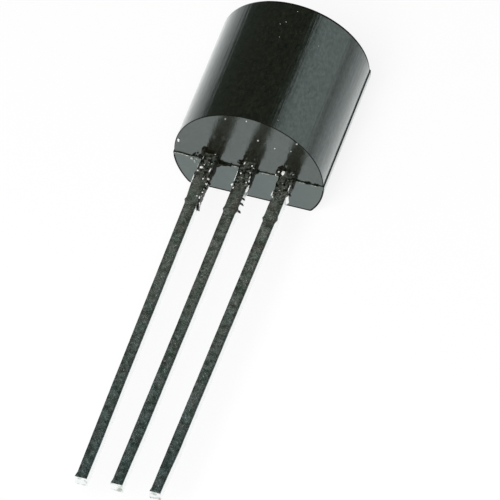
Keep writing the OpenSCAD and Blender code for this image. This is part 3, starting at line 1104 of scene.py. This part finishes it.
def background(tree, colour, strength):
    """A shader of the world."""
    return add_node("Background", {"Color": colour, "Strength": strength}, tree).outputs[0]


def mixed(share, first, second):
    """The shader that lies a share of the way from the first to the second."""
    return add_node("MixShader", {0: share, 1: first, 2: second}).outputs[0]


def make_world():
    """White for the camera, even light on the object, and the studio in its reflections."""
    world = bpy.data.worlds.new("studio")
    world.use_nodes = True
    bpy.context.scene.world = world
    tree = world.node_tree
    tree.nodes.clear()
    direction = given(tree, "TexCoord", "Generated")
    angle = maths("ARCTAN2", axis_of(direction, "Z"), axis_of(direction, "X"))
    studio = add_node("ValToRGB", {"Fac": maths("DIVIDE", angle, pi)})
    stops = studio.color_ramp.elements
    while len(stops) < len(MIRRORED_STUDIO):
        stops.new(0.5)
    for stop, (degrees, colour) in zip(stops, MIRRORED_STUDIO):
        stop.position = degrees / 180
        stop.color = (*colour, 1.0)
    # the studio is a little dimmer in front of the part, and ends behind it
    lengthwise = axis_of(direction, "Y")
    front = spread(lengthwise, -0.1, 0.3, 0.9, 1.0)
    back = spread(lengthwise, 0.8, 0.95, 1.0, 0.15)
    mirrored = background(tree, studio.outputs["Color"], maths("MULTIPLY", front, back))
    white = background(tree, (*WHITE, 1.0), 1.0)
    even = background(tree, (*WHITE, 1.0), WORLD_LEVEL)
    lit = mixed(given(tree, "LightPath", "Is Glossy Ray"), even, mirrored)
    shown = mixed(given(tree, "LightPath", "Is Camera Ray"), lit, white)
    add_node("OutputWorld", {"Surface": shown})


def floor_light(tree, camera):
    """The floor's own glow: white for the camera, and in reflections a painted pool of light round the part.
    """
    aside = maths("DIVIDE", axis_of(given(tree, "TexCoord", "Object"), "X"), FLOOR_POOL * MM)
    pool = maths("DIVIDE", 1.0, maths("ADD", 1.0, maths("MULTIPLY", aside, aside)))
    level = maths("MAXIMUM", camera, spread(pool, 0.0, 1.0, FLOOR_FAR, 1.0))
    colour = blend(camera, MIRROR_TINT, WHITE)
    return add_node("Emission", {"Color": colour, "Strength": level}).outputs[0]


def make_floor():
    """Plain white floor that keeps the shadow, lifted towards white for the camera and in reflections.
    From below it is clear."""
    half = FLOOR_SIDE / 2
    corners = [(x, y, -FLOOR_DROP) for x, y in ((-half, -half), (half, -half), (half, half), (-half, half))]
    floor = new_object("studio_floor", corners, [(0, 1, 2, 3)])
    material, tree, shader = new_material("floor_white")
    tree.nodes.remove(shader)
    camera = given(tree, "LightPath", "Is Camera Ray")
    seen = maths("MULTIPLY", camera, CAMERA_SHARE)
    mirrored = maths("MULTIPLY", given(tree, "LightPath", "Is Glossy Ray"), MIRROR_SHARE)
    share = maths("ADD", seen, mirrored)
    paint = (FLOOR_PAINT, FLOOR_PAINT, FLOOR_PAINT, 1.0)
    matt = add_node("BsdfDiffuse", {"Color": paint}, tree).outputs[0]
    both = mixed(share, matt, floor_light(tree, camera))
    from_below = given(tree, "NewGeometry", "Backfacing")
    clear = add_node("BsdfTransparent", {"Color": (*WHITE, 1.0)}, tree).outputs[0]
    surface = mixed(maths("MULTIPLY", from_below, camera), both, clear)
    connect(tree.nodes["Material Output"].inputs["Surface"], surface)
    floor.data.materials.append(material)


def place_object(name, data, place, turn):
    """A lamp or camera in the scene at a place in millimetres, turned by a quaternion."""
    placed = bpy.data.objects.new(name, data)
    placed.location = place * MM
    placed.rotation_mode = "QUATERNION"
    placed.rotation_quaternion = turn
    bpy.context.scene.collection.objects.link(placed)
    return placed


def make_key_lamp():
    """Soft lamp in front of the part, high up."""
    lamp = bpy.data.lights.new("key_lamp", "AREA")
    lamp.shape = "DISK"
    lamp.size = KEY_SIZE * MM
    lamp.energy = KEY_LEVEL * (pi * KEY_DISTANCE * MM) ** 2
    turn = KEY_DIRECTION.to_track_quat("Z", "Y")
    place_object("key_lamp", lamp, KEY_DIRECTION * KEY_DISTANCE, turn).visible_glossy = False


# ---- camera

CAMERA_AZIMUTH = radians(20.608)
CAMERA_ELEVATION = radians(52.841)
CAMERA_ROLL = radians(-3.137)
CAMERA_DISTANCE = 200
CAMERA_AIM = Vector((0.0879, -2.8862, -2.0809))  # the place that the camera looks at
CAMERA_LENS = 463.1
CAMERA_SENSOR = 36


def make_camera():
    """The camera at the photograph's viewing angle."""
    data = bpy.data.cameras.new("camera")
    data.lens = CAMERA_LENS
    data.sensor_width = CAMERA_SENSOR
    data.clip_start = 0.01
    data.clip_end = 10
    back = Vector((
        sin(CAMERA_AZIMUTH) * cos(CAMERA_ELEVATION),
        -cos(CAMERA_AZIMUTH) * cos(CAMERA_ELEVATION),
        sin(CAMERA_ELEVATION),
    ))
    turn = back.to_track_quat("Z", "Y") @ Quaternion((0, 0, 1), CAMERA_ROLL)
    place = CAMERA_AIM + back * CAMERA_DISTANCE
    bpy.context.scene.camera = place_object("camera", data, place, turn)


# ---- the part

def make_body():
    """The moulded body, with shade painted along its rims and its parting plane."""
    points, faces, painted_shade_faces = body_mesh()
    body = new_object("epoxy_body", points, faces, sharp_angle=40)
    rim_shade = toned_material("epoxy_painted_rim_shade", constants={"Specular IOR Level": 0.1})
    finish_piece(body, [epoxy_material(), rim_shade], ("moulded_body",), painted_shade_faces)


def make_leads():
    """The three leads, with their sheared tips."""
    tin = tin_material()
    sheared = sheared_material()
    for name in LEAD_BOX:
        points, faces, across, first_tip_face = lead_mesh(name)
        lead = new_object(name + "_detail", points, faces, sharp_angle=60)
        lead.data.attributes.new("across", "FLOAT", "POINT").data.foreach_set("value", across)
        tip_faces = range(first_tip_face, len(faces))
        finish_piece(lead, [tin, sheared], (name,), tip_faces)


def make_residue():
    """Dust, flux, flash and resin, with painted glints, highlights and shade among them."""
    dust_and_glints = toned_material("pale_dust_and_glints", detail=2.0)
    gloss = {"Specular IOR Level": 0.18, "Specular Tint": (0.9, 1.0, 0.7, 1.0)}
    flash_and_shade = toned_material("resin_flash_and_shade", constants=gloss)
    dried_and_highlight = toned_material("dried_resin_and_highlight", contrast=(0.35, 0.65))
    pieces = (
        ("face_grains", lump_mesh(grains(), 2), dust_and_glints, "epoxy"),
        ("flux_crumbs_and_glints", lump_mesh(crumbs_and_glints()), dust_and_glints, "tinned_strip"),
        ("resin_thorns", thorn_mesh(), flash_and_shade, "epoxy"),
        ("face_flash_and_shade", flash_and_shade_mesh(), flash_and_shade, "epoxy"),
        ("face_resin_and_highlights", lump_mesh(resin_and_highlights()), dried_and_highlight, "epoxy"),
        ("resin_bleed", lump_mesh(bleed(), 4), flash_and_shade, "epoxy"),
    )
    for name, mesh, material, slot in pieces:
        finish_piece(new_object(name, *mesh), [material])


make_world()
make_floor()
make_key_lamp()
make_camera()
make_body()
make_leads()
make_residue()
dress_inner_nodes()
bpy.context.scene.view_settings.view_transform = "Standard"
